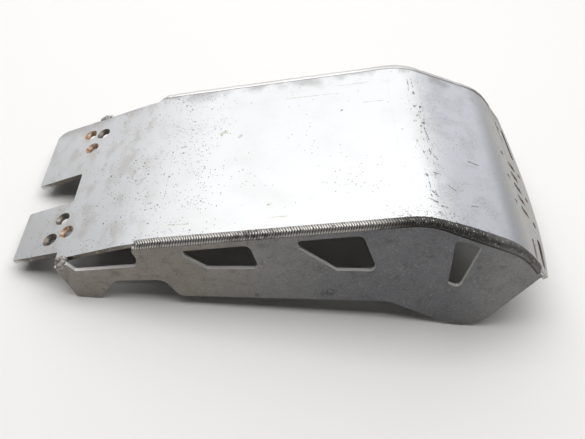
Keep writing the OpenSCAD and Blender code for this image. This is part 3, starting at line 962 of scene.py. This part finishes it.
@dataclass
class SeamBead:
    """Rippled bead along one seam, from the belly's rear bend over the brow to the nose."""

    side: Side
    seed: int = 3
    pitch_mm: float = 2.5
    ripple_mm: float = 0.7
    lag: float = 2.4
    calm_mm: float = 300.0
    still_mm: float = 340.0
    broad_mm: tuple[float, float, float, float] = (285.0, 328.0, 352.0, 392.0)
    broad_lap_mm: float = 2.6
    broad_leg: float = 0.3
    fullness_mm: float = 0.35
    wander_mm: float = 0.45
    wander_every_mm: float = 9.0
    wander_row: float = 4.0
    taper_mm: float = 3.0
    sunk_mm: float = 1.2
    lap_mm: float = 4.0
    leg_mm: float = 3.5
    start_mm: float = 2.0
    past_nose_mm: float = 30.0
    rings_per_ripple: int = 8
    arc_steps: int = 14
    centre_mm: Pair = (-0.6, -3.6)
    clear_mm: float = 0.01
    crease_degrees: float = 50.0

    @property
    def node(self) -> str:
        """Name of the CAD node that the bead stands for."""
        return f"{self.side.name.lower()}_seam_weld"

    def build(self, metal: bpy.types.Material) -> bpy.types.Object:
        """Make the bead and let it stand for its CAD node.

        Args:
            metal: The bead's finish.

        Returns:
            The finished piece.
        """
        piece = place_in_scene(self.node + "_rippled", self.smooth_bead())
        modifier = piece.modifiers.new("ripples", "NODES")
        tree = ripple_tree()
        modifier.node_group = tree
        sizes = {"Pitch": self.pitch_mm * MM, "Height": self.ripple_mm * MM, "Lag": self.lag,
                 "Calm": self.calm_mm * MM, "Still": self.still_mm * MM, "Seed": self.seed, "Metal": metal}
        for name, value in sizes.items():
            modifier[socket_id(tree, name)] = value
        apply_modifiers(piece)
        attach(piece, BODY)
        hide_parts(self.node)
        return piece

    def section(self, swell_mm: float, spread_mm: float) -> list[Point]:
        """Return the bead's closed section.

        Args:
            swell_mm: How much fuller than the plain bead it is.
            spread_mm: How much further it laps over the belly.

        Returns:
            Offsets across the plate and out of the belly's face, and the share along the round face.
        """
        drop = PROFILE.side_drop_mm
        toe_top = (-self.lap_mm - spread_mm, self.clear_mm)
        toe_side = (PROFILE.side_y_mm + self.clear_mm, -drop - self.leg_mm - spread_mm * self.broad_leg)
        cx, cz = self.centre_mm
        angles = [math.atan2(toe[1] - cz, toe[0] - cx) for toe in (toe_top, toe_side)]
        radii = [math.hypot(toe[0] - cx, toe[1] - cz) for toe in (toe_top, toe_side)]
        points = []
        for step in range(self.arc_steps + 1):
            share = step / self.arc_steps
            angle = angles[0] + (angles[1] - angles[0]) * share
            radius = radii[0] + (radii[1] - radii[0]) * share + swell_mm * math.sin(math.pi * share)
            points.append((cx + radius * math.cos(angle), cz + radius * math.sin(angle), share))
        ledge = self.clear_mm - drop
        points += [(toe_side[0], ledge, -1.0), (self.clear_mm, ledge, -1.0),
                   (self.clear_mm, self.clear_mm, -1.0)]
        return points

    def swell(self, s_mm: float, length_mm: float) -> float:
        """Return how much fuller the hand-laid bead is than a plain one.

        Args:
            s_mm: Length along the bead.
            length_mm: The bead's whole length.

        Returns:
            The swelling in millimetres, below zero where the bead sinks at its ends.
        """
        place = Vector((s_mm / self.wander_every_mm, self.wander_row + self.side.value, 0))
        wander = noise.noise(place) * self.wander_mm
        taper = max(min(1.0, s_mm / self.taper_mm, (length_mm - s_mm) / self.taper_mm), 0.0)
        return (self.fullness_mm + wander) * taper - self.sunk_mm * (1 - taper)

    def spread(self, s_mm: float) -> float:
        """Return how much further the bead laps over the belly, where it was laid twice past the brow.

        Args:
            s_mm: Length along the bead.

        Returns:
            The extra lap in millimetres.
        """
        start, full, fall, end = self.broad_mm
        share = min(1.0, max(0.0, min((s_mm - start) / (full - start), (end - s_mm) / (end - fall))))
        return self.broad_lap_mm * share * share * (3 - 2 * share)

    def smooth_bead(self) -> bpy.types.Mesh:
        """Make the bead before its ripples, with the attributes that the ripple tree reads.

        Returns:
            A closed mesh.
        """
        length = PROFILE.seam_end_mm(self.past_nose_mm) - self.start_mm
        count = int(length / self.pitch_mm * self.rings_per_ripple)
        shape = bmesh.new()
        along = shape.verts.layers.float.new("along")
        across = shape.verts.layers.float.new("across")
        lift = shape.verts.layers.float_vector.new("lift")
        rings = []
        for i in range(count + 1):
            s_mm = length * i / count
            x, z, heading = PROFILE.seam(s_mm + self.start_mm)
            out = Vector((-math.sin(heading), math.cos(heading)))
            ring = []
            for offset, height, share in self.section(self.swell(s_mm, length), self.spread(s_mm)):
                px, pz = x + height * out.x, z + height * out.y
                py = self.side.value * (PROFILE.inner_half_mm(px, pz) + offset)
                vert = shape.verts.new((PROFILE.rear_x + px * MM, py * MM, pz * MM))
                vert[along] = s_mm * MM
                vert[across] = share
                if share > 0:
                    up = height - self.centre_mm[1]
                    sideways = offset - self.centre_mm[0]
                    vert[lift] = Vector((up * out.x, self.side.value * sideways, up * out.y)).normalized()
                ring.append(vert)
            rings.append(ring)
        for low, high in zip(rings, rings[1:]):
            for j in range(len(low)):
                k = (j + 1) % len(low)
                shape.faces.new((low[j], low[k], high[k], high[j]))
        shape.faces.new(rings[0])
        shape.faces.new(rings[-1])
        bmesh.ops.recalc_face_normals(shape, faces=shape.faces)
        for face in shape.faces:
            face.smooth = True
        mesh = mesh_of(shape, self.node + "_rippled")
        mesh.set_sharp_from_angle(angle=math.radians(self.crease_degrees))
        return mesh


def ripple_tree() -> bpy.types.NodeTree:
    """Build the node tree that raises ripples along a bead.

    A ripple is a half-round hump. It trails behind at the bead's toes, wanders a little along the bead, has a
    height of its own, and fades towards the nose.

    Returns:
        A tree with named inputs for the ripples' sizes, the seed and the metal.
    """
    name = "bead_ripples"
    if name in bpy.data.node_groups:
        return bpy.data.node_groups[name]
    lowest, highest, faintest, round_power, toe_power = 0.7, 1.25, 0.3, 0.5, 0.4
    wander_scale, wander_share, seed_step = 120.0, 1.1, 7.3
    tree = bpy.data.node_groups.new(name, "GeometryNodeTree")
    kinds = {"Bead": "Geometry", "Pitch": "Float", "Height": "Float", "Lag": "Float", "Calm": "Float",
             "Still": "Float", "Seed": "Int", "Metal": "Material"}
    for socket, kind in kinds.items():
        tree.interface.new_socket(socket, in_out="INPUT", socket_type="NodeSocket" + kind)
    tree.interface.new_socket("Bead", in_out="OUTPUT", socket_type="NodeSocketGeometry")
    given = add_node(tree, "NodeGroupInput").outputs
    known = {socket: given[socket] for socket in kinds}
    for attribute, kind in (("along", "FLOAT"), ("across", "FLOAT"), ("lift", "FLOAT_VECTOR")):
        reader = add_node(tree, "GeometryNodeInputNamedAttribute", {"Name": attribute}, data_type=kind)
        known[attribute] = reader.outputs[0]
    drift = add_node(tree, "ShaderNodeTexNoise", {"Scale": wander_scale, "Detail": 2.0},
                     noise_dimensions="4D")
    sizes = add_node(tree, "FunctionNodeRandomValue",
                     {"Min": lowest, "Max": highest, "Seed": given["Seed"]}, data_type="FLOAT")
    calm = add_node(tree, "ShaderNodeMapRange",
                    {"Value": known["along"], "From Min": given["Calm"], "From Max": given["Still"],
                     "To Min": 1.0, "To Max": faintest})
    known.update(wander=drift.outputs[0], size=sizes.outputs[1], calm=calm.outputs[0])
    # Each step is its result, its operation and its terms: values, or names of inputs and earlier results.
    steps = (("half_turn", "MULTIPLY", "across", math.pi), ("crown", "SINE", "half_turn"),
             ("round_face", "MAXIMUM", "crown", 0.0), ("toe", "POWER", "round_face", toe_power),
             ("count", "DIVIDE", "along", "Pitch"), ("fold", "PINGPONG", "across", 0.5),
             ("trail", "MULTIPLY", "fold", "Lag"), ("lagged", "SUBTRACT", "count", "trail"),
             ("layer", "MULTIPLY", "Seed", seed_step),
             ("phase", "MULTIPLY_ADD", "wander", wander_share, "lagged"),
             ("place", "FRACT", "phase"), ("number", "FLOOR", "phase"),
             ("signed", "MULTIPLY_ADD", "place", 2.0, -1.0), ("square", "MULTIPLY", "signed", "signed"),
             ("rest", "SUBTRACT", 1.0, "square"), ("hump", "POWER", "rest", round_power),
             ("height", "MULTIPLY", "hump", "size"), ("faded", "MULTIPLY", "height", "toe"),
             ("lower", "MULTIPLY", "faded", "calm"), ("rise", "MULTIPLY", "lower", "Height"),
             ("gap", "SUBTRACT", 1.0, "hump"), ("groove", "MULTIPLY", "gap", "calm"))
    for result, operation, *terms in steps:
        inputs = {i: known.get(term, term) for i, term in enumerate(terms)}
        known[result] = add_node(tree, "ShaderNodeMath", inputs, operation=operation).outputs[0]
    tree.links.new(known["layer"], drift.inputs["W"])
    tree.links.new(known["number"], sizes.inputs["ID"])
    offset = add_node(tree, "ShaderNodeVectorMath", {0: known["lift"], "Scale": known["rise"]},
                      operation="SCALE")
    moved = add_node(tree, "GeometryNodeSetPosition",
                     {"Geometry": given["Bead"], "Offset": offset.outputs[0]})
    # groove marks the hollows between the ripples, where the bead's finish paints shade.
    stored = add_node(tree, "GeometryNodeStoreNamedAttribute",
                      {"Geometry": moved.outputs[0], "Name": "groove", "Value": known["groove"]},
                      data_type="FLOAT", domain="POINT")
    real = add_node(tree, "GeometryNodeRealizeInstances", {"Geometry": stored.outputs[0]})
    dressed = add_node(tree, "GeometryNodeSetMaterial",
                       {"Geometry": real.outputs[0], "Material": given["Metal"]})
    add_node(tree, "NodeGroupOutput", {0: dressed.outputs[0]})
    return tree


@dataclass
class TabBead:
    """Short lumpy bead behind a rear tab, where the side plate's strip meets the belly's edge."""

    side: Side
    lump_mm: float = 0.4
    voxel_mm: float = 0.6
    lumps_per_metre: float = 180.0
    lump_detail: tuple[float, float, int] = (0.6, 2.0, 3)

    @property
    def node(self) -> str:
        """Name of the CAD node that the bead stands for."""
        return f"{self.side.name.lower()}_tab_weld"

    def build(self, metal: bpy.types.Material) -> bpy.types.Object:
        """Make the bead and let it stand for its CAD node.

        Args:
            metal: The bead's finish.

        Returns:
            The finished piece.
        """
        piece = place_in_scene(self.node + "_lumpy", mesh_of(cad_shape(self.node), self.node + "_lumpy"))
        skin = piece.modifiers.new("skin", "REMESH")
        skin.mode = "VOXEL"
        skin.voxel_size = self.voxel_mm * MM
        skin.use_smooth_shade = True
        apply_modifiers(piece)
        for vert in piece.data.vertices:
            lump = noise.fractal(vert.co * self.lumps_per_metre, *self.lump_detail) * self.lump_mm * MM
            vert.co += vert.normal * lump
        piece.data.materials.append(metal)
        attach(piece, BODY)
        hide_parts(self.node)
        return piece


@dataclass
class SkidPlate:
    """The whole part: sheets, beads and their finishes."""

    pieces: list[bpy.types.Object] = field(default_factory=list)

    def build(self) -> None:
        """Build every piece and report it."""
        inner, seat, tab_metal = ShadedInnerAluminium().build(), RustStain().build(), SpatteredAluminium().build()
        # Painted highlight: the side plates' cut edges get a near-white, half-matt copy of the edge finish,
        # so that they look lit from above.
        filed = CutAluminium("cut_edge_painted_highlight", "#F2F0EC", dirty=0.2, metallic=0.4, roughness=0.5)
        belly_finishes = {Surface.OUTER: RolledAluminium().build(), Surface.INNER: inner,
                          Surface.EDGE: CutAluminium().build(), Surface.SEAT: seat}
        side_finishes = {Surface.OUTER: OxidisedAluminium().build(), Surface.INNER: inner,
                         Surface.EDGE: filed.build(), Surface.SEAT: seat}
        # Painted highlight: the far bead gets a paler copy of the bead's finish, with little darkening, where
        # the key softbox's reflection falls.
        painted_lit = WeldedAluminium("bead_aluminium_painted_lit", crest="#CDCCCB", darkening=0.2)
        metals = {Side.LEFT: WeldedAluminium().build(), Side.RIGHT: painted_lit.build()}
        seams = {Side.LEFT: SeamBead(Side.LEFT),
                 Side.RIGHT: SeamBead(Side.RIGHT, seed=8, ripple_mm=0.2, fullness_mm=-0.45, broad_lap_mm=0.0)}
        tabs = {Side.LEFT: TabBead(Side.LEFT), Side.RIGHT: TabBead(Side.RIGHT, lump_mm=0.15)}
        belly = CutSheet("belly_plate", "belly_sheet", PROFILE.outward, rusty=rusty_holes())
        self.keep(belly.build(belly_finishes))
        for side in Side:
            flare, toe = math.radians(PROFILE.flare), math.radians(PROFILE.toe)
            facing = Vector((-math.sin(toe), side.value * math.cos(toe), math.sin(flare))).normalized()
            name = side.name.lower()
            plate = CutSheet(f"{name}_side_plate", f"{name}_side_sheet", lambda at, facing=facing: facing)
            self.keep(plate.build(side_finishes))
            self.keep(seams[side].build(metals[side]))
            self.keep(tabs[side].build(tab_metal))

    def keep(self, piece: bpy.types.Object) -> None:
        """Note a finished piece and report it.

        Args:
            piece: The piece.
        """
        self.pieces.append(piece)
        piece.data.calc_loop_triangles()
        log.info("%s: %d triangles", piece.name, len(piece.data.loop_triangles))


@dataclass
class Studio:
    """Floor, lights, world and camera."""

    floor_half: float = 4.0
    camera_at: Point = (-0.0309, -0.5807, 0.5806)
    yaw: float = -4.11
    pitch: float = 44.73
    roll: float = 6.07
    lens_mm: float = 43.89
    sensor_mm: float = 36.0
    clip_start: float = 0.01
    lit: Point = (0.0, 0.0, 0.08)
    key_from: Point = (-0.05, 2.0, 1.6)
    key_size: Pair = (5.4, 3.2)
    key_watts: float = 61.0
    top_from: Point = (0.0, 0.05, 2.2)
    top_size: Pair = (3.2, 1.7)
    top_watts: float = 50.0
    air: str = "#FEFEFF"
    fill_strength: float = 0.056
    room_strength: float = 0.187

    def build(self) -> None:
        """Build the studio, with the large soft key behind the part and the plain top light over it."""
        self.lay_floor()
        self.hang("key_softbox", self.key_from, self.key_size, self.key_watts)
        self.hang("top_softbox", self.top_from, self.top_size, self.top_watts)
        self.light_world()
        self.set_camera()
        bpy.context.scene.view_settings.view_transform = "Standard"

    def lay_floor(self) -> None:
        """Lay the white floor under the part."""
        half = self.floor_half
        mesh = bpy.data.meshes.new("studio_floor")
        corners = [(-half, -half, 0), (half, -half, 0), (half, half, 0), (-half, half, 0)]
        mesh.from_pydata(corners, [], [(0, 1, 2, 3)])
        floor = place_in_scene("studio_floor", mesh)
        floor.data.materials.append(StudioPaper().build())

    def hang(self, name: str, at: Point, size: Pair, watts: float) -> None:
        """Hang one softbox that faces the part.

        Args:
            name: The lamp's name.
            at: Where it hangs.
            size: Its width and height.
            watts: Its power.
        """
        data = bpy.data.lights.new(name, "AREA")
        data.shape = "RECTANGLE"
        data.size, data.size_y = size
        data.energy = watts
        lamp = bpy.data.objects.new(name, data)
        lamp.location = at
        lamp.rotation_euler = (Vector(self.lit) - Vector(at)).to_track_quat("-Z", "Y").to_euler()
        bpy.context.scene.collection.objects.link(lamp)

    def light_world(self) -> None:
        """Light the part evenly from all round, and show white to the camera."""
        world = bpy.data.worlds.new("studio_air")
        world.use_nodes = True
        tree = world.node_tree
        tree.nodes.clear()
        path = add_node(tree, "ShaderNodeLightPath").outputs
        room = add_node(tree, "ShaderNodeMapRange", {"Value": path["Is Glossy Ray"],
                                                     "To Min": self.fill_strength,
                                                     "To Max": self.room_strength})
        strength = add_node(tree, "ShaderNodeMapRange", {"Value": path["Is Camera Ray"],
                                                         "To Min": room.outputs[0], "To Max": 1.0})
        air = add_node(tree, "ShaderNodeBackground",
                       {"Color": linear(self.air), "Strength": strength.outputs[0]})
        add_node(tree, "ShaderNodeOutputWorld", {"Surface": air.outputs[0]})
        bpy.context.scene.world = world

    def set_camera(self) -> None:
        """Stand the camera where the photograph was taken from."""
        yaw, pitch, roll = (math.radians(v) for v in (self.yaw, self.pitch, self.roll))
        level = Vector((-math.sin(yaw), math.cos(yaw), 0))
        forward = level * math.cos(pitch) - Vector((0, 0, math.sin(pitch)))
        right = Vector((math.cos(yaw), math.sin(yaw), 0))
        up = right.cross(forward)
        turned_right = right * math.cos(roll) + up * math.sin(roll)
        turned_up = up * math.cos(roll) - right * math.sin(roll)
        data = bpy.data.cameras.new("photo_camera")
        data.sensor_fit = "HORIZONTAL"
        data.sensor_width = self.sensor_mm
        data.lens = self.lens_mm
        data.clip_start = self.clip_start
        camera = bpy.data.objects.new("photo_camera", data)
        turn = Matrix((turned_right, turned_up, -forward)).transposed()
        camera.matrix_world = Matrix.Translation(self.camera_at) @ turn.to_4x4()
        bpy.context.scene.collection.objects.link(camera)
        bpy.context.scene.camera = camera


def main() -> None:
    """Build the part and its studio."""
    logging.basicConfig(level=logging.INFO, format="%(name)s: %(message)s")
    SkidPlate().build()
    Studio().build()


if __name__ == "__main__":
    main()
